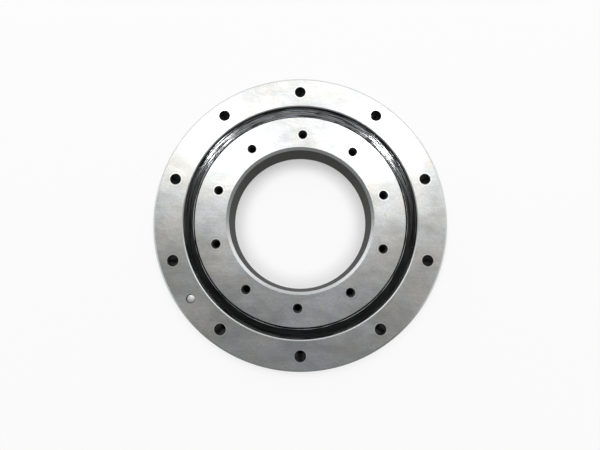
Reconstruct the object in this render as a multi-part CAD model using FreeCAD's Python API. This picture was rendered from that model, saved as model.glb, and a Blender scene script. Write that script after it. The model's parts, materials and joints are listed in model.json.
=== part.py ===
import FreeCAD, Part
import math
import os

# Crossed roller bearing with one-piece inner and outer rings, in millimetres.
# The origin is on the bearing's axis, halfway through its width. +Z is the axis
# and points out of the face that is seen. The bearing lies flat on its lower face.

# Rings
bore_diameter = 80.0
inner_wall = 22.0            # from the bore to the pitch circle of the rollers
outer_wall = 20.5            # from the pitch circle of the rollers to the outside
width = 22.0
bore_chamfer = 1.5
rim_chamfer = 1.3            # at the outside edges of the outer ring
inner_seal_chamfer = 0.25    # at the inner ring's edges beside the seals
outer_seal_chamfer = 0.5     # at the outer ring's edges beside the seals
edge_break = 0.4             # at the mouths of plain holes

# Rollers and raceways
roller_diameter = 8.0
roller_length = 7.6
roller_corner = 0.4
raceway_clearance = 0.06     # between a roller's side and each raceway
land_gap = 1.0               # from the pitch circle to each ring's land
land_wall = 1.25             # height of a land, from the raceway's edge to the seal seat
relief_width = 1.4           # undercut along the root of each raceway
relief_depth = 0.3

# Spacers
roller_gap = 1.25            # least distance between neighbouring rollers
spacer_diameter = 7.4
spacer_length = 4.6
saddle_clearance = 0.1

# Seals
seal_thickness = 3.0
seal_reach_in = 2.95         # from the pitch circle in to the wall that the lip runs on
seal_reach_out = 3.5         # from the pitch circle out to the wall that holds the seal
seal_clearance = 0.05        # between the seal and the outer ring
lip_clearance = 0.1          # between the lip and the inner ring
lip_edge = 0.5
lip_drop = 1.4               # from the seal's top down to the lip's edge
lip_lift = 0.5               # from the inner ring's shoulder up to the lip
body_reach_in = 0.5          # from the pitch circle in to the foot of the seal
bead_reach = 0.5             # bead that snaps into the outer ring
rim_width = 0.85
rim_height = 0.25
ridge_reach = 1.7            # from the pitch circle in to the ridge beside the lip
ridge_width = 0.35
rim_rounding = 0.35          # at the seal's outer edge
seal_rounding = 0.2          # along the other edges of the seal's body
ridge_rounding = 0.12
lip_rounding = 0.15

# Bolt holes
outer_bolt_count = 10
outer_bolt_setback = 8.5     # from the outside in to the bolt circle
outer_hole_diameter = 5.5
counterbore_diameter = 9.5
counterbore_depth = 5.4
inner_bolt_count = 10
inner_bolt_setback = 8.75    # from the bore out to the bolt circle
tap_drill_diameter = 4.2     # for an M5 thread
countersink_diameter = 5.2
inner_ring_turn = -1.7       # degrees that the inner ring stands turned against the outer

# Loading hole, its plug and the pin through it
plug_angle = 216.0           # degrees from +X, midway between two bolt holes
loading_clearance = 0.5      # around a roller that goes in through the hole
plug_clearance = 0.01
plug_setback = 0.1           # from the lowest point of the hole's mouth to the plug's flat end
plug_chamfer = 0.3
plug_relief = 0.03           # behind the raceway
pin_diameter = 4.0           # at the thin end
pin_taper = 1 / 50           # diameter lost for each millimetre of length
pin_clearance = 0.01
pin_setback = 0.15           # from a ring's face to the pin's domed end
pin_dome = 0.45
pin_mouth = 0.25             # width of the bevel around the pin

# What follows from these sizes
bore_radius = bore_diameter / 2
pitch_radius = bore_radius + inner_wall
outer_radius = pitch_radius + outer_wall
half_width = width / 2
groove_reach = (roller_diameter / 2 + raceway_clearance) * math.sqrt(2)
seal_seat = groove_reach - land_gap + land_wall
inner_seal_radius = pitch_radius - seal_reach_in
outer_seal_radius = pitch_radius + seal_reach_out
seal_top = seal_seat + seal_thickness
bead_height = (seal_seat + seal_top) / 2
inner_bolt_radius = bore_radius + inner_bolt_setback
outer_bolt_radius = outer_radius - outer_bolt_setback
plug_radius = roller_diameter / 2 + loading_clearance
roller_count = 2 * math.floor(math.pi * pitch_radius / (roller_diameter + roller_gap))
roller_step = 360 / roller_count
roller_tilts = (45, -45)     # even and odd rollers lean outwards and inwards
past_surface = 1.0           # how far a cutter reaches beyond the surface that it opens

CENTRE = FreeCAD.Vector(0, 0, 0)
RADIAL = FreeCAD.Vector(1, 0, 0)
TANGENT = FreeCAD.Vector(0, 1, 0)
AXIS = FreeCAD.Vector(0, 0, 1)


def unit(vector):
    """The vector's direction, one long."""
    return vector * (1 / vector.Length)


def rounding_arc(before, corner, after, radius):
    """Start, middle and end of the arc that rounds a corner of an outline."""
    to_before = unit(before - corner)
    to_after = unit(after - corner)
    half_angle = to_before.getAngle(to_after) / 2
    setback = radius / math.tan(half_angle)
    start = corner + to_before * setback
    end = corner + to_after * setback
    middle = corner + unit(to_before + to_after) * (radius / math.sin(half_angle) - radius)
    return start, middle, end


def revolved(outline):
    """Solid turned about Z from corners given as radius, height and rounding."""
    corners = [FreeCAD.Vector(r, 0, z) for r, z, _ in outline]
    arcs = []
    for i, (_, _, rounding) in enumerate(outline):
        corner = corners[i]
        if rounding:
            after = corners[(i + 1) % len(corners)]
            arcs.append(rounding_arc(corners[i - 1], corner, after, rounding))
        else:
            arcs.append((corner, None, corner))
    edges = []
    for i, (start, middle, end) in enumerate(arcs):
        edges.append(Part.LineSegment(arcs[i - 1][2], start).toShape())
        if middle:
            edges.append(Part.Arc(start, middle, end).toShape())
    face = Part.Face(Part.Wire(edges))
    return face.revolve(CENTRE, AXIS, 360)


def both_sides(upper_half):
    """Whole outline of a ring, from the half that runs up its raceway and down its far wall."""
    lower_half = [(r, -z, rounding) for r, z, rounding in reversed(upper_half)]
    return upper_half + lower_half


def around(shape, count, start=0.0):
    """Evenly spaced copies of a shape about the bearing's axis."""
    copies = []
    for i in range(count):
        copy = shape.copy()
        copy.rotate(CENTRE, AXIS, start + i * 360 / count)
        copies.append(copy)
    return copies


def upright_cone(radius, low_radius, low, high_radius, high):
    """Cone or cylinder parallel to the axis, at a radius on the X axis, between two heights."""
    base = RADIAL * radius + AXIS * low
    if low_radius == high_radius:
        return Part.makeCylinder(low_radius, high - low, base, AXIS)
    return Part.makeCone(low_radius, high_radius, high - low, base, AXIS)


def mouth_bevel(radius, hole_radius, bevel, side):
    """Cutter for the bevel around a hole where it opens in a ring's face, side 1 or -1."""
    wide = hole_radius + bevel + past_surface
    face = side * half_width
    if side > 0:
        return upright_cone(radius, hole_radius, face - bevel, wide, face + past_surface)
    return upright_cone(radius, wide, face - past_surface, hole_radius, face + bevel)


def inner_ring():
    """Inner ring with its raceway, seal shoulders and tapped holes."""
    ring = revolved(both_sides([
        (pitch_radius - groove_reach - relief_depth, relief_width / 2, 0),
        (pitch_radius - groove_reach + relief_width / 2, relief_width / 2, 0),
        (pitch_radius - land_gap, groove_reach - land_gap, 0),
        (pitch_radius - land_gap, seal_seat, 0),
        (inner_seal_radius, seal_seat, 0),
        (inner_seal_radius, half_width - inner_seal_chamfer, 0),
        (inner_seal_radius - inner_seal_chamfer, half_width, 0),
        (bore_radius + bore_chamfer, half_width, 0),
        (bore_radius, half_width - bore_chamfer, 0),
    ]))
    hole = inner_bolt_hole()
    return ring.cut(around(hole, inner_bolt_count, 90 + inner_ring_turn))


def inner_bolt_hole():
    """Cutter for one tapped hole, countersunk at both faces."""
    drill = tap_drill_diameter / 2
    countersink = (countersink_diameter - tap_drill_diameter) / 2
    depth = half_width + past_surface
    hole = upright_cone(inner_bolt_radius, drill, -depth, drill, depth)
    return hole.fuse([
        mouth_bevel(inner_bolt_radius, drill, countersink, 1),
        mouth_bevel(inner_bolt_radius, drill, countersink, -1),
    ])


def outer_ring():
    """Outer ring with its raceway, seal seats, bolt holes, loading hole and pin hole."""
    ring = revolved(both_sides([
        (pitch_radius + groove_reach + relief_depth, relief_width / 2, 0),
        (pitch_radius + groove_reach - relief_width / 2, relief_width / 2, 0),
        (pitch_radius + land_gap, groove_reach - land_gap, 0),
        (pitch_radius + land_gap, seal_seat, 0),
        (outer_seal_radius, seal_seat, 0),
        (outer_seal_radius, bead_height - bead_reach, 0),
        (outer_seal_radius + bead_reach, bead_height, 0),
        (outer_seal_radius, bead_height + bead_reach, 0),
        (outer_seal_radius, half_width - outer_seal_chamfer, 0),
        (outer_seal_radius + outer_seal_chamfer, half_width, 0),
        (outer_radius - rim_chamfer, half_width, 0),
        (outer_radius, half_width - rim_chamfer, 0),
    ]))
    cutters = around(outer_bolt_hole(), outer_bolt_count, 90)
    cutters.append(at_plug(loading_hole()))
    cutters.append(at_plug(pin_hole()))
    return ring.cut(cutters)


def outer_bolt_hole():
    """Cutter for one through hole with a counterbore in the lower face."""
    drill = outer_hole_diameter / 2
    wide = counterbore_diameter / 2
    depth = half_width + past_surface
    bottom = counterbore_depth - half_width
    hole = upright_cone(outer_bolt_radius, drill, -depth, drill, depth)
    return hole.fuse([
        upright_cone(outer_bolt_radius, wide, -depth, wide, bottom),
        mouth_bevel(outer_bolt_radius, drill, edge_break, 1),
        mouth_bevel(outer_bolt_radius, wide, edge_break, -1),
    ])


def at_plug(shape):
    """A shape modelled on the X axis, turned to the loading hole's place."""
    placed = shape.copy()
    placed.rotate(CENTRE, AXIS, plug_angle)
    return placed


def radial_rod(radius, end):
    """Rod along the X axis from the pitch circle out to a distance from the axis."""
    return Part.makeCylinder(radius, end - pitch_radius, RADIAL * pitch_radius, RADIAL)


def loading_hole():
    """Cutter for the radial hole that the rollers go in through, bevelled at its mouth."""
    mouth = Part.makeCone(
        plug_radius,
        plug_radius + edge_break + past_surface,
        edge_break + past_surface,
        RADIAL * (outer_radius - edge_break),
        RADIAL,
    )
    return radial_rod(plug_radius, outer_radius + past_surface).fuse(mouth)


def loading_plug():
    """Plug in the loading hole, its inner end hollowed to the outer raceway's form."""
    space = groove_reach + plug_relief * math.sqrt(2)
    roller_space = revolved([
        (pitch_radius + space, 0, 0),
        (pitch_radius, space, 0),
        (pitch_radius - space, 0, 0),
        (pitch_radius, -space, 0),
    ])
    end = math.sqrt(outer_radius**2 - plug_radius**2) - plug_setback
    rod = radial_rod(plug_radius - plug_clearance, end)
    end_rims = [edge for edge in rod.Edges if edge.CenterOfMass.x > end - plug_clearance]
    return at_plug(rod.makeChamfer(plug_chamfer, end_rims).cut([roller_space, pin_hole()]))


def pin_radius(height):
    """Radius of the taper pin at a height: it is thinnest at the lower face."""
    return (pin_diameter + pin_taper * (height + half_width)) / 2


def pin_hole():
    """Cutter for the tapered hole that is reamed through ring and plug together."""
    low = -half_width - past_surface
    high = half_width + past_surface
    reamer = upright_cone(
        outer_bolt_radius,
        pin_radius(low) + pin_clearance,
        low,
        pin_radius(high) + pin_clearance,
        high,
    )
    return reamer.fuse([
        mouth_bevel(outer_bolt_radius, pin_radius(half_width), pin_mouth, 1),
        mouth_bevel(outer_bolt_radius, pin_radius(-half_width), pin_mouth, -1),
    ])


def dome_middle(radius, rim, top):
    """Point halfway along the arc from a dome's rim up, or down, to its top."""
    rise = top - rim
    sphere = (radius**2 + rise**2) / (2 * abs(rise))
    half_angle = math.asin(radius / sphere) / 2
    drop = sphere * (1 - math.cos(half_angle))
    return FreeCAD.Vector(sphere * math.sin(half_angle), 0, top - math.copysign(drop, rise))


def taper_pin():
    """Pin with domed ends that keeps the plug in the outer ring."""
    top = half_width - pin_setback
    shoulder = top - pin_dome
    tip = FreeCAD.Vector(0, 0, top)
    heel = FreeCAD.Vector(0, 0, -top)
    thick = FreeCAD.Vector(pin_radius(shoulder), 0, shoulder)
    thin = FreeCAD.Vector(pin_radius(-shoulder), 0, -shoulder)
    outline = Part.Wire([
        Part.LineSegment(heel, tip).toShape(),
        Part.Arc(tip, dome_middle(thick.x, shoulder, top), thick).toShape(),
        Part.LineSegment(thick, thin).toShape(),
        Part.Arc(thin, dome_middle(thin.x, -shoulder, -top), heel).toShape(),
    ])
    pin = Part.Face(outline).revolve(CENTRE, AXIS, 360)
    pin.translate(RADIAL * outer_bolt_radius)
    return at_plug(pin)


def upper_seal():
    """Rubber seal: a bead holds it in the outer ring and its lip runs on the inner ring."""
    body = outer_seal_radius - seal_clearance
    floor = seal_top - rim_height
    ridge = pitch_radius - ridge_reach
    lip = inner_seal_radius + lip_clearance
    foot = pitch_radius - body_reach_in
    return revolved([
        (body, seal_seat, seal_rounding),
        (body, bead_height - bead_reach, 0),
        (body + bead_reach, bead_height, seal_rounding),
        (body, bead_height + bead_reach, 0),
        (body, seal_top, rim_rounding),
        (body - rim_width, seal_top, seal_rounding),
        (body - rim_width - rim_height, floor, seal_rounding),
        (ridge + ridge_width / 2 + rim_height, floor, seal_rounding),
        (ridge + ridge_width / 2, seal_top, ridge_rounding),
        (ridge - ridge_width / 2, seal_top, ridge_rounding),
        (lip, seal_top - lip_drop, lip_rounding),
        (lip, seal_top - lip_drop - lip_edge, lip_rounding),
        (foot, seal_seat + lip_lift, 0),
        (foot, seal_seat, 0),
    ])


def lower_seal():
    """The same seal, turned over, under the rollers."""
    return upper_seal().mirror(CENTRE, AXIS)


def in_raceway(shape, tilt, angle):
    """A shape modelled upright at the centre, leaned over and moved to the pitch circle."""
    placed = shape.copy()
    placed.rotate(CENTRE, TANGENT, tilt)
    placed.translate(RADIAL * pitch_radius)
    placed.rotate(CENTRE, AXIS, angle)
    return placed


def upright_rod(radius, length):
    """Cylinder on the axis, centred on the origin."""
    return Part.makeCylinder(radius, length, AXIS * (-length / 2), AXIS)


def rollers():
    """Every roller in turn, each crossed at a right angle to the one before it."""
    blank = upright_rod(roller_diameter / 2, roller_length)
    rims = [edge for edge in blank.Edges if edge.Closed and edge.Curve.TypeId == "Part::GeomCircle"]
    roller = blank.makeFillet(roller_corner, rims)
    return [in_raceway(roller, roller_tilts[i % 2], i * roller_step) for i in range(roller_count)]


def spacer(tilt_before, tilt_after):
    """Spacer on the X axis, with a saddle at each end for the roller beside it."""
    base = RADIAL * pitch_radius + TANGENT * (-spacer_length / 2)
    body = Part.makeCylinder(spacer_diameter / 2, spacer_length, base, TANGENT)
    grown = upright_rod(roller_diameter / 2 + saddle_clearance, 2 * spacer_diameter)
    before = in_raceway(grown, tilt_before, -roller_step / 2)
    after = in_raceway(grown, tilt_after, roller_step / 2)
    return body.cut([before, after])


def roller_spacers():
    """One spacer in each gap between neighbouring rollers."""
    even, odd = roller_tilts
    pairs = roller_count // 2
    after_even = around(spacer(even, odd), pairs, roller_step / 2)
    after_odd = around(spacer(odd, even), pairs, roller_step * 3 / 2)
    return Part.makeCompound(after_even + after_odd)


def nodes():
    """Every named piece of the bearing."""
    named = {
        "outer_ring": outer_ring(),
        "inner_ring": inner_ring(),
        "loading_plug": loading_plug(),
        "taper_pin": taper_pin(),
        "upper_seal": upper_seal(),
        "lower_seal": lower_seal(),
        "roller_spacers": roller_spacers(),
    }
    for number, roller in enumerate(rollers(), 1):
        named[f"roller_{number:02d}"] = roller
    return named


os.makedirs("parts", exist_ok=True)
for name, shape in nodes().items():
    shape.exportStep(f"parts/{name}.step")
    print(name, len(shape.Solids), round(shape.Volume, 1), shape.isValid())
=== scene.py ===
import bpy
import json
import math
from collections import namedtuple
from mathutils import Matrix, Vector


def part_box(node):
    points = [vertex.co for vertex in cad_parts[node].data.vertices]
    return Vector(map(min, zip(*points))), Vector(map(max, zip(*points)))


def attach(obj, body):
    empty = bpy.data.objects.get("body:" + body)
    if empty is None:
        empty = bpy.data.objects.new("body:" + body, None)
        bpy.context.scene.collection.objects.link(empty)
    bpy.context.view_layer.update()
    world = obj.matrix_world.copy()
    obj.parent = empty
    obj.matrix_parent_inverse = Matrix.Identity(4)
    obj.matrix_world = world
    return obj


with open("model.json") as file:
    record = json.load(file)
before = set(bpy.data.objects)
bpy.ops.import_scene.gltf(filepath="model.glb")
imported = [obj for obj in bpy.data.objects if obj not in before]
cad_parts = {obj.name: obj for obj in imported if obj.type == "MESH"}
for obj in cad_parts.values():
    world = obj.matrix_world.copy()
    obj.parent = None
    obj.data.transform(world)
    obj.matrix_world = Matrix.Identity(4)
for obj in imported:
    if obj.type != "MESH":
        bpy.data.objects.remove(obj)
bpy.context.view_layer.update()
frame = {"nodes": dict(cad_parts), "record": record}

# Everything is in metres, in the bearing's own frame: its axis is Z, halfway through its width.
MM = 0.001

HoleCircle = namedtuple("HoleCircle", "circle_radius count first_angle drill_radius mouth_radius reach")
# A low wall tone, as on the bore, is painted shade.
# The hole tone is painted shade in the bolt holes.
RingFinish = namedtuple("RingFinish", "wall_radius wall_tone wall_roughness hole_tone")
RingZones = namedtuple("RingZones", "flat steep upright wall hole from_hole")
RingMarks = namedtuple("RingMarks", "wipe small_wipe scratches stains lines bands grain")

# Sizes that the frame doesn't give
outer_edge_break = 0.4 * MM
inner_countersink = 0.5 * MM
counterbore_radius = 4.75 * MM
thread_pitch = 0.8 * MM
seal_ridge_radius = 60.3 * MM
seal_rim_radius = 65.2 * MM
pin_angle = math.radians(216)
pin_reach = 2.7 * MM           # from the pin's axis to beyond the bevel around it

mounts = {mount["name"]: mount["dims"] for mount in frame["record"]["mounts"]}
bore_radius = mounts["bore"]["r_mm"] * MM
outside_radius = mounts["housing_seat"]["r_mm"] * MM
outer_holes = HoleCircle(
    circle_radius=mounts["outer_bolts"]["pcd_mm"] * MM / 2,
    count=mounts["outer_bolts"]["count"],
    first_angle=math.radians(90),
    drill_radius=mounts["outer_bolts"]["hole_r_mm"] * MM,
    mouth_radius=mounts["outer_bolts"]["hole_r_mm"] * MM + outer_edge_break,
    reach=5.2 * MM,            # takes in the counterbores of the lower face
)
inner_holes = HoleCircle(
    circle_radius=mounts["inner_bolts"]["pcd_mm"] * MM / 2,
    count=mounts["inner_bolts"]["count"],
    first_angle=math.radians(88.3),    # the inner ring stands turned against the outer
    drill_radius=mounts["inner_bolts"]["hole_r_mm"] * MM,
    mouth_radius=mounts["inner_bolts"]["hole_r_mm"] * MM + inner_countersink,
    reach=2.8 * MM,
)
half_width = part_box("outer_ring")[1].z
floor_height = -half_width - 0.01 * MM

# Colours, with an alpha of 1
WHITE = (1.0, 1.0, 1.0, 1.0)
FLOOR_GREY = (0.93, 0.93, 0.93, 1.0)
# Painted shade under the bolt holes
HOLE_SHADE_BLACK = (0.02, 0.02, 0.02, 1.0)
WARM_FACE = (1.0, 0.985, 0.945, 1.0)
COOL_FACE = (0.965, 0.988, 1.0, 1.0)
COOL_CHAMFER = (0.955, 0.985, 1.0, 1.0)
WARM_WALL = (1.0, 0.992, 0.97, 1.0)
OIL_STAIN = (0.55, 0.50, 0.36, 1.0)
COOL_RUBBER = (0.97, 1.0, 1.02, 1.0)
DARK_RESIN = (0.72, 0.67, 0.53, 1.0)
PALE_RESIN = (0.80, 0.76, 0.64, 1.0)


class Graph:
    """Adds nodes to one material or group and joins them up."""

    def __init__(self, tree):
        self.tree = tree

    def feed(self, socket, value):
        """Joins a socket to another one, or gives it a plain value."""
        if isinstance(value, bpy.types.NodeSocket):
            self.tree.links.new(value, socket)
        else:
            socket.default_value = value

    def node(self, kind, values=None, **settings):
        """A new node with its settings made and its named inputs fed."""
        made = self.tree.nodes.new(f"ShaderNode{kind}")
        for name, value in settings.items():
            setattr(made, name, value)
        for name, value in (values or {}).items():
            self.feed(made.inputs[name], value)
        return made

    def place(self, group, values):
        """A group with its inputs fed, as its outputs."""
        made = self.tree.nodes.new("ShaderNodeGroup")
        made.node_tree = group
        for name, value in values.items():
            self.feed(made.inputs[name], value)
        return made.outputs

    def math(self, operation, *values):
        """One sum on one, two or three values."""
        made = self.node("Math", operation=operation)
        for socket, value in zip(made.inputs, values):
            self.feed(socket, value)
        return made.outputs["Value"]

    def step(self, value, start, end):
        """0 before start, 1 past end and smooth between them, whichever of the two is larger."""
        made = self.node("MapRange", {"Value": value, "From Min": start, "From Max": end})
        made.interpolation_type = "SMOOTHSTEP"
        return made.outputs["Result"]

    def band(self, value, middle, reach, softness):
        """1 within a reach of the middle, falling to 0 over the softness."""
        away = self.math("ABSOLUTE", self.math("SUBTRACT", value, middle))
        return self.step(away, reach + softness, reach)

    def vary(self, *patterns):
        """Product that is 1 where each pattern is 0.5, from patterns with the range that each one adds."""
        product = 1.0
        for pattern, amount in patterns:
            factor = self.math("MULTIPLY_ADD", pattern, amount, 1 - amount / 2)
            product = self.math("MULTIPLY", product, factor)
        return product

    def mark(self, value, *masks):
        """Value raised by a share of itself where a mask is 1, or lowered by a negative share."""
        for mask, share in masks:
            value = self.math("MULTIPLY", value, self.math("MULTIPLY_ADD", mask, share, 1.0))
        return value

    def vector(self, x, y, z):
        """Vector from three values."""
        return self.node("CombineXYZ", {"X": x, "Y": y, "Z": z}).outputs["Vector"]

    def part(self, vector, name):
        """X, Y or Z of a vector."""
        return self.node("SeparateXYZ", {"Vector": vector}).outputs[name]

    def noise(self, vector, scale, detail, roughness=0.5):
        """Soft noise about 0.5."""
        values = {"Vector": vector, "Scale": scale, "Detail": detail, "Roughness": roughness}
        return self.node("TexNoise", values).outputs["Fac"]

    def mix(self, amount, first, second):
        """Value between the first and the second."""
        made = self.node("Mix", data_type="FLOAT")
        for i, value in ((0, amount), (2, first), (3, second)):
            self.feed(made.inputs[i], value)
        return made.outputs[0]

    def tint(self, amount, first, second, blend="MIX"):
        """Colour between the first and the second, or the first with the second blended in."""
        made = self.node("Mix", data_type="RGBA", blend_type=blend)
        for i, value in ((0, amount), (6, first), (7, second)):
            self.feed(made.inputs[i], value)
        return made.outputs[2]

    def grey(self, value):
        """Colour with the same value in each channel."""
        made = self.node("CombineColor", {"Red": value, "Green": value, "Blue": value})
        return made.outputs["Color"]

    def bump(self, height, depth):
        """Normal of a surface whose height varies by a depth in metres."""
        values = {"Height": height, "Strength": 1.0, "Distance": depth}
        return self.node("Bump", values).outputs["Normal"]


def new_group(name, inputs, outputs):
    """Empty group with named sockets: its tree, its graph, what comes in and what goes out."""
    tree = bpy.data.node_groups.new(name, "ShaderNodeTree")
    for label, (kind, start) in inputs.items():
        socket = tree.interface.new_socket(name=label, in_out="INPUT", socket_type=f"NodeSocket{kind}")
        if start is not None:
            socket.default_value = start
    for label, kind in outputs.items():
        tree.interface.new_socket(name=label, in_out="OUTPUT", socket_type=f"NodeSocket{kind}")
    entry = tree.nodes.new("NodeGroupInput").outputs
    result = tree.nodes.new("NodeGroupOutput").inputs
    return tree, Graph(tree), entry, result


def ring_place_group():
    """Where a point lies on a turned piece, how level it is there, and a vector for streaks around it."""
    tree, graph, entry, result = new_group(
        "ring_place",
        {"Streak Length": ("Float", 8 * MM), "Streak Width": ("Float", 0.25 * MM)},
        {"Radius": "Float", "Angle": "Float", "Levelness": "Float", "Around": "Vector", "Place": "Vector"},
    )
    coordinates = graph.node("TexCoord").outputs
    x, y, z = graph.node("SeparateXYZ", {"Vector": coordinates["Object"]}).outputs
    across = graph.math("MULTIPLY", x, x)
    radius = graph.math("SQRT", graph.math("MULTIPLY_ADD", y, y, across))
    reach = graph.math("DIVIDE", bore_radius, entry["Streak Length"])
    # The share of the height keeps streaks apart on walls, where the radius stays the same.
    profile = graph.math("MULTIPLY_ADD", z, 0.73, radius)
    graph.feed(result["Radius"], radius)
    graph.feed(result["Angle"], graph.math("ARCTAN2", y, x))
    graph.feed(result["Levelness"], graph.math("ABSOLUTE", graph.part(coordinates["Normal"], "Z")))
    graph.feed(result["Around"], graph.vector(
        graph.math("MULTIPLY", graph.math("DIVIDE", x, radius), reach),
        graph.math("MULTIPLY", graph.math("DIVIDE", y, radius), reach),
        graph.math("DIVIDE", profile, entry["Streak Width"]),
    ))
    graph.feed(result["Place"], coordinates["Object"])
    return tree


def hole_circle_group():
    """Distance from the axis of the nearest hole in a circle of holes."""
    tree, graph, entry, result = new_group(
        "hole_circle",
        {"Radius": ("Float", 0.0), "Angle": ("Float", 0.0), "Circle Radius": ("Float", 0.05),
         "Count": ("Float", 10.0), "First Angle": ("Float", 0.0)},
        {"Distance": "Float"},
    )
    sector = graph.math("DIVIDE", math.tau, entry["Count"])
    turned = graph.math("SUBTRACT", entry["Angle"], entry["First Angle"])
    nearest = graph.math("ROUND", graph.math("DIVIDE", turned, sector))
    folded = graph.math("SUBTRACT", turned, graph.math("MULTIPLY", nearest, sector))
    along = graph.math("MULTIPLY", entry["Radius"], graph.math("COSINE", folded))
    across = graph.math("MULTIPLY", entry["Radius"], graph.math("SINE", folded))
    short = graph.math("SUBTRACT", along, entry["Circle Radius"])
    squared = graph.math("MULTIPLY_ADD", across, across, graph.math("MULTIPLY", short, short))
    graph.feed(result["Distance"], graph.math("SQRT", squared))
    return tree


def cloudy_wipe_group():
    """Soft patches and streaks that an oily cloth leaves, with other patches for a change of tint.

    The streaks lie level in some of the patches of tint and at a slant in the others.
    """
    tree, graph, entry, result = new_group(
        "cloudy_wipe",
        {"Place": ("Vector", None), "Patch Size": ("Float", 14 * MM)},
        {"Patches": "Float", "Tint": "Float", "Streaks": "Float"},
    )
    place = entry["Place"]
    per_metre = graph.math("DIVIDE", 1.0, entry["Patch Size"])
    widened = graph.node("Mapping", {"Vector": place, "Scale": (0.6, 1.0, 1.0)}).outputs["Vector"]
    moved = graph.node("Mapping", {"Vector": place, "Location": (0.31, 0.17, 0.0)}).outputs["Vector"]
    level = graph.node("Mapping", {"Vector": place, "Scale": (0.35, 5.0, 1.0)}).outputs["Vector"]
    slanted = graph.node("VectorRotate", {"Vector": place, "Angle": 0.55}).outputs["Vector"]
    slanted = graph.node("Mapping", {"Vector": slanted, "Scale": (0.5, 4.0, 1.0)}).outputs["Vector"]
    patches = graph.noise(widened, per_metre, 4.0, 0.55)
    tints = graph.noise(moved, per_metre, 3.0)
    level_streaks = graph.noise(level, per_metre, 4.0, 0.6)
    slanted_streaks = graph.noise(slanted, per_metre, 4.0, 0.6)
    streaks = graph.mix(graph.step(tints, 0.46, 0.58), level_streaks, slanted_streaks)
    graph.feed(result["Patches"], graph.step(patches, 0.32, 0.68))
    graph.feed(result["Tint"], graph.step(tints, 0.35, 0.65))
    graph.feed(result["Streaks"], streaks)
    return tree


def fine_scratches_group():
    """Thin broken lines that cross at three slants."""
    tree, graph, entry, result = new_group(
        "fine_scratches",
        {"Place": ("Vector", None), "Length": ("Float", 9 * MM), "Width": ("Float", 0.12 * MM),
         "Rarity": ("Float", 0.7)},
        {"Scratches": "Float"},
    )
    found = None
    for slant in (0.2, 1.15, 2.3):
        turned = graph.node("VectorRotate", {"Vector": entry["Place"], "Angle": slant})
        x, y, z = graph.node("SeparateXYZ", {"Vector": turned.outputs["Vector"]}).outputs
        drawn = graph.vector(
            graph.math("DIVIDE", x, entry["Length"]),
            graph.math("DIVIDE", y, entry["Width"]),
            graph.math("DIVIDE", z, entry["Length"]),
        )
        full = graph.math("ADD", entry["Rarity"], 0.06)
        lines = graph.step(graph.noise(drawn, 1.0, 0.0), entry["Rarity"], full)
        found = graph.math("MAXIMUM", found, lines) if found else lines
    graph.feed(result["Scratches"], found)
    return tree


def dust_specks_group():
    """Small round specks, spread at random."""
    tree, graph, entry, result = new_group(
        "dust_specks",
        {"Place": ("Vector", None), "Spacing": ("Float", 1.2 * MM), "Size": ("Float", 0.12),
         "Share": ("Float", 0.2)},
        {"Specks": "Float"},
    )
    scale = graph.math("DIVIDE", 1.0, entry["Spacing"])
    cells = graph.node("TexVoronoi", {"Vector": entry["Place"], "Scale": scale})
    core = graph.math("MULTIPLY", entry["Size"], 0.4)
    near = graph.step(cells.outputs["Distance"], entry["Size"], core)
    chance = graph.node("SeparateColor", {"Color": cells.outputs["Color"]}).outputs["Red"]
    chosen = graph.math("LESS_THAN", chance, entry["Share"])
    graph.feed(result["Specks"], graph.math("MULTIPLY", near, chosen))
    return tree


ring_place = ring_place_group()
hole_circle = hole_circle_group()
cloudy_wipe = cloudy_wipe_group()
fine_scratches = fine_scratches_group()
dust_specks = dust_specks_group()


def new_material(name):
    """Material with an empty Principled shader, its graph and that shader."""
    material = bpy.data.materials.new(name)
    material.use_nodes = True
    return material, Graph(material.node_tree), material.node_tree.nodes["Principled BSDF"]


def from_holes(graph, place, circle_radius, count, first_angle):
    """Distance from the nearest hole of a circle, at a place on a ring."""
    values = {"Radius": place["Radius"], "Angle": place["Angle"], "Circle Radius": circle_radius,
              "Count": float(count), "First Angle": first_angle}
    return graph.place(hole_circle, values)["Distance"]


def ring_zones(graph, place, holes, wall_radius):
    """Masks that are 1 on each part of a ring with a finish of its own, and the distance from its holes."""
    level = place["Levelness"]
    flat = graph.step(level, 0.82, 0.95)
    steep = graph.step(level, 0.95, 0.8)
    upright = graph.step(level, 0.45, 0.2)
    at_wall = graph.band(place["Radius"], wall_radius, 0.3 * MM, 0.2 * MM)
    edge = 0.3 * MM
    from_hole = from_holes(graph, place, holes.circle_radius, holes.count, holes.first_angle)
    in_hole = graph.math("MULTIPLY", steep, graph.step(from_hole, holes.reach + edge, holes.reach))
    # The bevel around the pin gets the holes' painted shade too.
    if holes is outer_holes:
        from_pin = from_holes(graph, place, outer_holes.circle_radius, 1, pin_angle)
        at_pin = graph.math("MULTIPLY", steep, graph.step(from_pin, pin_reach + edge, pin_reach))
        in_hole = graph.math("MAXIMUM", in_hole, at_pin)
    wall = graph.math("MULTIPLY", upright, at_wall)
    return RingZones(flat, steep, upright, wall, in_hole, from_hole)


def ring_marks(graph, place):
    """Patterns that grinding, wiping and handling leave on a ring."""
    spot = place["Place"]
    bands = graph.place(ring_place, {"Streak Length": 40 * MM, "Streak Width": 0.9 * MM})["Around"]
    stain_values = {"Place": spot, "Length": 5 * MM, "Width": 0.6 * MM, "Rarity": 0.74}
    return RingMarks(
        wipe=graph.place(cloudy_wipe, {"Place": spot, "Patch Size": 16 * MM}),
        small_wipe=graph.place(cloudy_wipe, {"Place": spot, "Patch Size": 6 * MM}),
        scratches=graph.place(fine_scratches, {"Place": spot})["Scratches"],
        stains=graph.place(fine_scratches, stain_values)["Scratches"],
        lines=graph.noise(place["Around"], 1.0, 3.0, 0.6),
        bands=graph.noise(bands, 1.0, 3.0, 0.6),
        grain=graph.noise(spot, 1 / (0.8 * MM), 1.0),
    )


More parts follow.
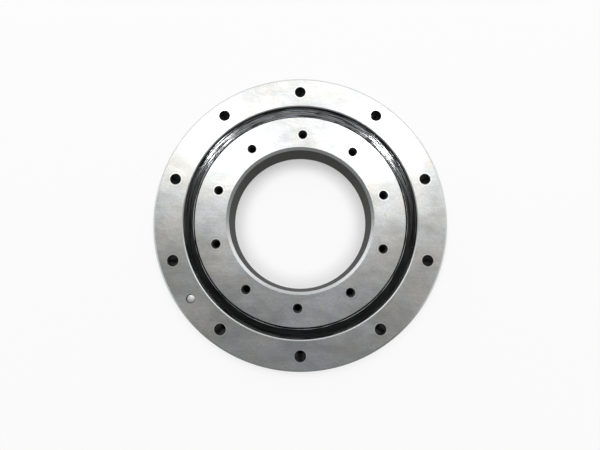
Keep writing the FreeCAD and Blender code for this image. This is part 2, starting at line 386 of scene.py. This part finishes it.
def ring_tone(graph, place, zones, holes, finish):
    """Brightness of a ring's clean steel, with painted shade on the front part of the outer rim, on its
    upright walls and in its holes.
    """
    chamfer_tone, face_tone, bore_side_tone = 0.70, 0.62, 0.66
    # Tones of painted shade: the front of the outer rim, and the upright walls.
    front_rim_shade_tone, upright_shade_tone = 0.20, 0.30
    # Painted shade: the mouth tone darkens the bevels at the mouths and the counterbores.
    mouth_shade_tone = 0.03          # bevels at the mouths, and the counterbores
    near_bore = graph.math("MULTIPLY", zones.flat, graph.step(place["Radius"], 53 * MM, 45 * MM))
    tone = graph.mix(zones.flat, chamfer_tone, graph.mix(near_bore, face_tone, bore_side_tone))
    at_rim = graph.step(place["Radius"], outside_radius - 1.6 * MM, outside_radius - 1.4 * MM)
    on_rim = graph.math("MULTIPLY", zones.steep, at_rim)
    # Painted shade: the chamfer of the outer rim is darker towards the front.
    at_front = graph.step(graph.part(place["Place"], "Y"), -35 * MM, -65 * MM)
    tone = graph.mix(graph.math("MULTIPLY", on_rim, at_front), tone, front_rim_shade_tone)
    # Painted shade on the upright walls, such as those of the seal grooves.
    tone = graph.mix(zones.upright, tone, upright_shade_tone)
    # The inner ring's low wall tone is painted shade on its bore wall.
    tone = graph.mix(zones.wall, tone, finish.wall_tone)
    # Painted shade in the bolt holes and around the pin: dark drilled walls, and darker bevels and
    # counterbores.
    deep = graph.step(zones.from_hole, holes.drill_radius + 0.2 * MM, holes.drill_radius + 0.05 * MM)
    return graph.mix(zones.hole, tone, graph.mix(deep, mouth_shade_tone, finish.hole_tone))


def ring_wear(graph, zones, marks, holes):
    """What work and wear multiply the brightness by, and the burnished ring around each hole."""
    wiped = graph.vary((marks.wipe["Patches"], 0.22), (marks.small_wipe["Patches"], 0.13),
                       (marks.small_wipe["Streaks"], 0.42), (marks.lines, 0.08), (marks.grain, 0.30))
    ground = graph.vary((marks.lines, 0.30), (marks.bands, 0.40), (marks.wipe["Patches"], 0.08))
    mouth = holes.mouth_radius + 0.2 * MM
    around_mouth = graph.band(zones.from_hole, mouth, 0.25 * MM, 0.3 * MM)
    beyond_it = graph.band(zones.from_hole, mouth + 0.9 * MM, 0.1 * MM, 0.5 * MM)
    burnish = graph.math("MULTIPLY", zones.flat, around_mouth)
    shade = graph.math("MULTIPLY", zones.flat, beyond_it)
    worked = graph.mix(zones.flat, ground, wiped)
    return graph.mark(worked, (burnish, 0.22), (shade, -0.06), (marks.scratches, 0.09)), burnish


def ring_steel(name, holes, finish):
    """Ground and wiped bearing steel, with its chamfers, its plain wall and its bolt holes told apart."""
    material, graph, shader = new_material(name)
    place = graph.place(ring_place, {"Streak Length": 10 * MM, "Streak Width": 0.22 * MM})
    zones = ring_zones(graph, place, holes, finish.wall_radius)
    marks = ring_marks(graph, place)
    worked, burnish = ring_wear(graph, zones, marks, holes)

    tone = ring_tone(graph, place, zones, holes, finish)
    face_tint = graph.tint(marks.wipe["Tint"], WARM_FACE, COOL_FACE)
    steep_tint = graph.tint(zones.upright, COOL_CHAMFER, WARM_WALL)
    tint = graph.tint(zones.flat, steep_tint, face_tint)
    colour = graph.tint(1.0, graph.grey(graph.math("MULTIPLY", tone, worked)), tint, blend="MULTIPLY")
    stained = graph.math("MULTIPLY", marks.stains, graph.math("MULTIPLY", zones.flat, 0.5))
    graph.feed(shader.inputs["Base Color"], graph.tint(stained, colour, OIL_STAIN))

    rough = graph.mix(zones.flat, 0.36, 0.35)
    rough = graph.mix(zones.wall, rough, finish.wall_roughness)
    rough = graph.mix(zones.hole, rough, 0.5)
    rough = graph.math("ADD", rough, graph.math("MULTIPLY_ADD", marks.wipe["Patches"], 0.03, -0.015))
    rough = graph.math("ADD", rough, graph.math("MULTIPLY_ADD", marks.small_wipe["Streaks"], 0.04, -0.02))
    rough = graph.math("ADD", rough, graph.math("MULTIPLY", burnish, -0.06))
    graph.feed(shader.inputs["Roughness"], rough)
    shader.inputs["Metallic"].default_value = 0.85

    height = graph.math("ADD", marks.lines, graph.math("MULTIPLY", marks.scratches, -1.0))
    graph.feed(shader.inputs["Normal"], graph.bump(height, 0.003 * MM))
    return material


def seal_rubber():
    """Black oiled rubber, streaked around by its mould, with dust specks and painted highlight lines along
    its ridge and rim.

    Where the film of oil is thick it mirrors like metal. The film is cut down towards the front, a painted
    shade that darkens it there.
    """
    material, graph, shader = new_material("seal_rubber")
    place = graph.place(ring_place, {"Streak Length": 11 * MM, "Streak Width": 0.7 * MM})
    fine = graph.place(ring_place, {"Streak Length": 5 * MM, "Streak Width": 0.3 * MM})
    streaks = graph.noise(place["Around"], 1.0, 4.0, 0.65)
    fine_streaks = graph.noise(fine["Around"], 1.0, 3.0, 0.6)
    specks = graph.place(dust_specks, {"Place": place["Place"]})["Specks"]

    # Painted highlight: bright broken lines along the seal's ridge and, fainter, along its rim.
    on_ridge = graph.band(place["Radius"], seal_ridge_radius, 0.15 * MM, 0.08 * MM)
    on_rim = graph.band(place["Radius"], seal_rim_radius, 0.15 * MM, 0.15 * MM)
    edges = graph.math("MAXIMUM", on_ridge, graph.math("MULTIPLY", on_rim, 0.3))
    edges = graph.math("MULTIPLY", edges, graph.step(streaks, 0.42, 0.6))

    film = graph.math("MULTIPLY_ADD", graph.step(streaks, 0.38, 0.54), 0.85, 0.15)
    film = graph.math("MULTIPLY", film, graph.step(fine_streaks, 0.30, 0.50))
    film = graph.math("MULTIPLY", film, graph.math("SUBTRACT", 1.0, edges))
    # Painted shade: less film, and so a darker, less mirroring seal, towards the front.
    to_back = graph.step(graph.part(place["Place"], "Y"), -30 * MM, 25 * MM)
    film = graph.math("MULTIPLY", film, graph.mix(to_back, 0.42, 1.0))

    tone = graph.math("MULTIPLY_ADD", graph.math("MULTIPLY", film, film), 0.14, 0.001)
    # The ridge and rim lines raise the tone as a painted highlight.
    tone = graph.math("MULTIPLY_ADD", edges, 0.50, tone)
    tone = graph.math("MULTIPLY_ADD", specks, 0.22, tone)
    colour = graph.tint(1.0, graph.grey(tone), COOL_RUBBER, blend="MULTIPLY")
    graph.feed(shader.inputs["Base Color"], colour)
    graph.feed(shader.inputs["Metallic"], film)
    dry_roughness = graph.math("MULTIPLY_ADD", streaks, 0.2, 0.25)
    graph.feed(shader.inputs["Roughness"], graph.mix(film, dry_roughness, 0.10))
    shader.inputs["IOR"].default_value = 1.25
    height = graph.math("ADD", streaks, fine_streaks)
    graph.feed(shader.inputs["Normal"], graph.bump(height, 0.018 * MM))
    return material


def turned_steel(name, tone, roughness, scratch_width):
    """Bright turned steel of the small pieces, with faint lines and wiped patches."""
    material, graph, shader = new_material(name)
    place = graph.node("TexCoord").outputs["Object"]
    wipe = graph.place(cloudy_wipe, {"Place": place, "Patch Size": 2.5 * MM})
    scratch_values = {"Place": place, "Length": 2 * MM, "Width": scratch_width}
    scratches = graph.place(fine_scratches, scratch_values)["Scratches"]
    shaded = graph.math("MULTIPLY_ADD", wipe["Patches"], 0.08, tone - 0.04)
    shaded = graph.math("MULTIPLY_ADD", scratches, 0.06, shaded)
    graph.feed(shader.inputs["Base Color"], graph.grey(shaded))
    rough = graph.math("MULTIPLY_ADD", wipe["Streaks"], 0.12, roughness - 0.06)
    graph.feed(shader.inputs["Roughness"], rough)
    shader.inputs["Metallic"].default_value = 1.0
    graph.feed(shader.inputs["Normal"], graph.bump(scratches, -0.002 * MM))
    return material


def spacer_resin():
    """Pale moulded resin with a fine grain and a film of grease."""
    material, graph, shader = new_material("spacer_resin")
    place = graph.node("TexCoord").outputs["Object"]
    grain = graph.noise(place, 1 / (0.3 * MM), 3.0, 0.6)
    wipe = graph.place(cloudy_wipe, {"Place": place, "Patch Size": 2 * MM})
    graph.feed(shader.inputs["Base Color"], graph.tint(wipe["Patches"], DARK_RESIN, PALE_RESIN))
    graph.feed(shader.inputs["Roughness"], graph.math("MULTIPLY_ADD", grain, 0.25, 0.3))
    graph.feed(shader.inputs["Normal"], graph.bump(grain, 0.01 * MM))
    return material


def dress(node, material):
    """Gives every slot of a CAD node one material."""
    for slot in frame["nodes"][node].material_slots:
        slot.material = material


def dress_all():
    """Finishes of all the CAD nodes."""
    # The hole tones of both rings are painted shade in the bolt holes.
    outer_finish = RingFinish(wall_radius=outside_radius, wall_tone=0.52, wall_roughness=0.32, hole_tone=0.05)
    # Its low wall tone is painted shade on the bore wall.
    inner_finish = RingFinish(wall_radius=bore_radius, wall_tone=0.14, wall_roughness=0.95, hole_tone=0.15)
    dress("outer_ring", ring_steel("outer_ring_steel", outer_holes, outer_finish))
    dress("inner_ring", ring_steel("inner_ring_steel", inner_holes, inner_finish))
    rubber = seal_rubber()
    dress("upper_seal", rubber)
    dress("lower_seal", rubber)
    pin_finish = turned_steel("pin_steel", tone=0.88, roughness=0.60, scratch_width=0.1 * MM)
    plug_finish = turned_steel("plug_steel", tone=0.55, roughness=0.34, scratch_width=0.15 * MM)
    roller_finish = turned_steel("roller_steel", tone=0.74, roughness=0.12, scratch_width=0.06 * MM)
    dress("taper_pin", pin_finish)
    dress("loading_plug", plug_finish)
    for name in frame["nodes"]:
        if name.startswith("roller_") and name != "roller_spacers":
            dress(name, roller_finish)
    dress("roller_spacers", spacer_resin())


def turned_point(out, across, turn, height):
    """Point that lies out from the axis and across from there, turned about the axis."""
    x = out * math.cos(turn) - across * math.sin(turn)
    y = out * math.sin(turn) + across * math.cos(turn)
    return x, y, height


def inner_ring_threads():
    """Thread ridges that stand on the walls of the inner ring's tapped holes and run out at both ends."""
    root = inner_holes.drill_radius + 0.02 * MM    # sunk a little into the wall
    crest = root - 0.2 * MM
    flank, flat = 0.32 * MM, 0.06 * MM
    section = [(root, -flank), (crest, -flat), (crest, flat), (root, flank)]
    per_turn = 28
    end_gap = 1.1 * MM
    length = 2 * half_width - 2 * end_gap
    steps = round(length / thread_pitch) * per_turn
    points, faces = [], []
    for hole in range(inner_holes.count):
        turn = inner_holes.first_angle + hole * math.tau / inner_holes.count
        centre_x, centre_y, _ = turned_point(inner_holes.circle_radius, 0.0, turn, 0.0)
        first = len(points)
        for i in range(steps + 1):
            angle = i * math.tau / per_turn
            middle = (i / steps - 0.5) * length
            grown = min(1.0, i / per_turn, (steps - i) / per_turn)
            for section_radius, rise in section:
                radius = root - (root - section_radius) * grown
                x = centre_x + radius * math.cos(angle)
                y = centre_y + radius * math.sin(angle)
                points.append((x, y, middle + rise * grown))
        for i in range(steps):
            low = first + len(section) * i
            high = low + len(section)
            for side in range(len(section)):
                after = (side + 1) % len(section)
                faces.append((low + side, low + after, high + after, high + side))
    mesh = bpy.data.meshes.new("inner_ring_threads")
    mesh.from_pydata(points, [], faces)
    threads = bpy.data.objects.new("inner_ring_threads", mesh)
    # Its low tone is painted shade, like the walls of the holes.
    finish = turned_steel("thread_steel", tone=0.14, roughness=0.50, scratch_width=0.1 * MM)
    mesh.materials.append(finish)
    bpy.context.scene.collection.objects.link(threads)
    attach(threads, "inner")


def show(material, surface):
    """Makes a surface the one that a material shows."""
    Graph(material.node_tree).feed(material.node_tree.nodes["Material Output"].inputs["Surface"], surface)


def show_from_above(material, surface):
    """Makes a surface the one that a material shows, and leaves it clear from below."""
    graph = Graph(material.node_tree)
    one_sided = graph.node("MixShader")
    graph.feed(one_sided.inputs[0], graph.node("NewGeometry").outputs["Backfacing"])
    graph.feed(one_sided.inputs[1], surface)
    graph.feed(one_sided.inputs[2], graph.node("BsdfTransparent").outputs["BSDF"])
    show(material, one_sided.outputs["Shader"])


def glow(name, tone, middle_tone=None, right_tone=None):
    """Card that shows the same tone from any side, or other tones along its middle and to the right."""
    material, graph, shader = new_material(name)
    material.node_tree.nodes.remove(shader)
    emission = graph.node("Emission", {"Color": (*tone, 1.0), "Strength": 1.0})
    if middle_tone:
        x = graph.part(graph.node("TexCoord").outputs["Object"], "X")
        shown = graph.tint(graph.step(x, -0.40, -0.05), (*tone, 1.0), (*middle_tone, 1.0))
        shown = graph.tint(graph.step(x, 0.12, 0.45), shown, (*right_tone, 1.0))
        graph.feed(emission.inputs["Color"], shown)
    show(material, emission.outputs["Emission"])
    return material


def stage_piece(name, points, faces, material):
    """Flat piece of the studio."""
    mesh = bpy.data.meshes.new(name)
    mesh.from_pydata(points, [], faces)
    mesh.materials.append(material)
    piece = bpy.data.objects.new(name, mesh)
    bpy.context.scene.collection.objects.link(piece)
    return piece


def floor_material():
    """Pale floor that the camera and the mirroring steel see as white, but for the bearing's own shade."""
    material, graph, shader = new_material("pale_floor")
    shader.inputs["Base Color"].default_value = FLOOR_GREY
    shader.inputs["Roughness"].default_value = 0.9
    shader.inputs["Specular IOR Level"].default_value = 0.0
    rays = graph.node("LightPath").outputs
    seen = graph.math("MAXIMUM", rays["Is Camera Ray"], rays["Is Glossy Ray"])
    seen = graph.math("MAXIMUM", seen, rays["Is Transmission Ray"])
    openness = graph.node("AmbientOcclusion", {"Distance": 11 * MM}, samples=8).outputs["AO"]
    place = graph.node("TexCoord").outputs["Object"]
    away = graph.node("VectorMath", {"Vector": place}, operation="LENGTH").outputs["Value"]
    whiteness = graph.math("MULTIPLY", openness, graph.mix(graph.step(away, 0.15, 0.8), 0.90, 1.0))
    white = graph.node("Emission", {"Color": WHITE, "Strength": 1.0}).outputs["Emission"]
    lifted = graph.node("MixShader")
    graph.feed(lifted.inputs[0], graph.math("MULTIPLY", seen, whiteness))
    graph.feed(lifted.inputs[1], shader.outputs["BSDF"])
    graph.feed(lifted.inputs[2], white)
    show_from_above(material, lifted.outputs["Shader"])
    return material


def floor():
    """Plain pale floor that the bearing lies on.

    It is clear from below, and open where the rings cover it, so that their underside can be looked at.
    """
    under_rings = 2 * MM
    floor_radius = 4.0
    count = 192
    points = []
    for radius in (bore_radius + under_rings, outside_radius - under_rings, floor_radius):
        for i in range(count):
            points.append(turned_point(radius, 0.0, i * math.tau / count, floor_height))
    faces = [tuple(range(count))]
    for i in range(count):
        after = (i + 1) % count
        faces.append((count + i, 2 * count + i, 2 * count + after, count + after))
    stage_piece("floor", points, faces, floor_material())


def hole_shades():
    """Dark patches of painted shade under the bolt holes, which look deep from above and stay open to view
    from below.

    Under the counterbores they leave a gap at each side, for the light that shows their steps.
    """
    material, _, shader = new_material("hole_shade")
    shader.inputs["Base Color"].default_value = HOLE_SHADE_BLACK
    show_from_above(material, shader.outputs["BSDF"])
    shades = [(outer_holes, counterbore_radius, 2.9 * MM),
              (inner_holes, inner_holes.mouth_radius, inner_holes.mouth_radius)]
    count = 40
    points, faces = [], []
    for holes, radius, half_breadth in shades:
        for hole in range(holes.count):
            turn = holes.first_angle + hole * math.tau / holes.count
            faces.append(tuple(range(len(points), len(points) + count)))
            for i in range(count):
                angle = i * math.tau / count
                out = holes.circle_radius + radius * math.cos(angle)
                across = max(-half_breadth, min(half_breadth, radius * math.sin(angle)))
                points.append(turned_point(out, across, turn, floor_height))
    stage_piece("hole_shades", points, faces, material)


def dim_cards():
    """Grey ceiling, and low grey cards in front and at both sides, that the polished edges mirror."""
    far, high = 2.6, 1.3
    side, near, back, tall = 1.1, -0.9, 0.2, 0.75
    ceiling = [(-far, -far, high), (-far, far, high), (far, far, high), (far, -far, high)]
    front = [(-side, near, 0.0), (side, near, 0.0), (side, near, tall), (-side, near, tall)]
    left = [(-side, near, 0.0), (-side, back, 0.0), (-side, back, tall), (-side, near, tall)]
    right = [(side, y, z) for x, y, z in left]
    ceiling_tones = glow("dark_card", (0.240, 0.234, 0.219), (0.117, 0.140, 0.172), (0.330, 0.320, 0.300))
    front_tone = glow("grey_card", (0.24, 0.24, 0.24))
    side_tone = glow("dim_card", (0.19, 0.19, 0.19))
    cards = [("ceiling_card", ceiling, ceiling_tones), ("front_card", front, front_tone),
             ("left_card", left, side_tone), ("right_card", right, side_tone)]
    for name, corners, material in cards:
        card = stage_piece(name, corners, [(0, 1, 2, 3)], material)
        card.visible_camera = False


def panel(name, place, aim, size, radiance, turn=0):
    """Soft rectangular lamp of a radiance, aimed at a point and turned by degrees about the vertical."""
    lamp = bpy.data.lights.new(name, "AREA")
    lamp.shape = "RECTANGLE"
    lamp.size, lamp.size_y = size
    lamp.energy = radiance * math.pi * size[0] * size[1]
    carrier = bpy.data.objects.new(name, lamp)
    carrier.location = place
    carrier.rotation_euler = (Vector(aim) - Vector(place)).to_track_quat("-Z", "Y").to_euler()
    carrier.rotation_euler.z += math.radians(turn)
    bpy.context.scene.collection.objects.link(carrier)


def lights():
    """Big panel overhead and behind, one at each back corner, and two small lamps that streak the seal."""
    panel("overhead_panel", place=(0.0, 0.718, 1.0), aim=(0.0, 0.718, 0.0), size=(1.7, 0.90), radiance=1.34,
          turn=-5)
    for name, side in (("left", -1), ("right", 1)):
        panel(f"back_panel_{name}", place=(0.95 * side, 0.85, 0.5), aim=(0.0, 0.0, 0.5), size=(0.9, 0.9),
              radiance=0.75)
        panel(f"seal_lamp_{name}", place=(0.266 * side, 0.323, 0.93), aim=(0.266 * side, 0.323, 0.0),
              size=(0.045, 0.10), radiance=58.0, turn=40 * side)


def surroundings():
    """Plain white walls."""
    world = bpy.data.worlds.new("studio")
    bpy.context.scene.world = world
    world.use_nodes = True
    world.node_tree.nodes["Background"].inputs["Color"].default_value = WHITE


def camera():
    """Camera almost straight above, leaning a little from the front."""
    lens = bpy.data.cameras.new("camera")
    lens.lens = 21.5
    lens.sensor_width = 36.0
    lens.clip_start = 0.01
    lens.shift_x = -0.0004
    lens.shift_y = -0.0093
    carrier = bpy.data.objects.new("camera", lens)
    carrier.location = (0.0, -19.87 * MM, 210.0 * MM)
    carrier.rotation_euler = (0.0995, 0.0, 0.0)
    bpy.context.scene.collection.objects.link(carrier)
    bpy.context.scene.camera = carrier


dress_all()
inner_ring_threads()
floor()
hole_shades()
dim_cards()
lights()
surroundings()
camera()
bpy.context.scene.view_settings.view_transform = "Standard"
